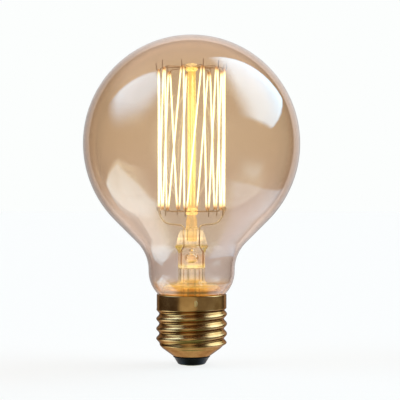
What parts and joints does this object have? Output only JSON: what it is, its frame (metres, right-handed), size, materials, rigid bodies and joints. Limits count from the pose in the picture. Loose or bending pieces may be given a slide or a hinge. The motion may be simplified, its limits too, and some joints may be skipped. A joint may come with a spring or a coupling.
{
  "type": "filament lamp",
  "caption": "Round clear-glass filament lamp with a squirrel-cage filament on a glass stem and a brass screw cap with a black insulator.",
  "frame": {"origin": "centre of the tip contact's outer face, which is the lowest point of the lamp and lies on its axis", "axes": "+Z along the lamp's axis, from the tip contact towards the globe; -Y towards the viewer of the picture; +X to the viewer's right"},
  "size_m": [0.08, 0.08, 0.1216],
  "materials": {
    "globe_glass": "clear blown glass with a warm tint",
    "stem_glass": "clear drawn glass",
    "rod_glass": "clear glass rod lit by the filament",
    "filament": "glowing wire",
    "support_wire": "dull drawn wire",
    "nickel": "dull drawn wire",
    "copper": "drawn wire",
    "cap_brass": "pressed sheet, slightly dull",
    "contact": "pressed sheet",
    "insulator": "glossy black",
    "solder": "dull solder",
    "cement": "matt cement"
  },
  "bodies": {
    "root": {"globe": "globe_glass", "basing_cement": "cement", "cap_shell": "cap_brass", "cap_insulator": "insulator", "tip_contact": "contact", "tip_solder": "solder", "side_weld": "solder", "flare_tube": "stem_glass", "exhaust_tube": "stem_glass", "pinch": "stem_glass", "centre_rod": "rod_glass", "lower_bead": "rod_glass", "upper_bead": "rod_glass", "seal_wire_left": "copper", "seal_wire_right": "copper", "inner_lead_left": "nickel", "inner_lead_right": "nickel", "outer_lead_tip": "copper", "outer_lead_side": "copper", "clamp_left": "nickel", "clamp_right": "nickel", "filament_front": "filament", "filament_back": "filament", "upper_support_1": "support_wire", "upper_support_2": "support_wire", "upper_support_3": "support_wire", "upper_support_4": "support_wire", "upper_support_5": "support_wire", "upper_support_6": "support_wire", "upper_support_7": "support_wire", "upper_support_8": "support_wire", "upper_support_9": "support_wire", "upper_support_10": "support_wire", "lower_support_1": "support_wire", "lower_support_2": "support_wire", "lower_support_3": "support_wire", "lower_support_4": "support_wire", "lower_support_5": "support_wire", "lower_support_6": "support_wire", "lower_support_7": "support_wire", "lower_support_8": "support_wire"}
  },
  "joints": []
}
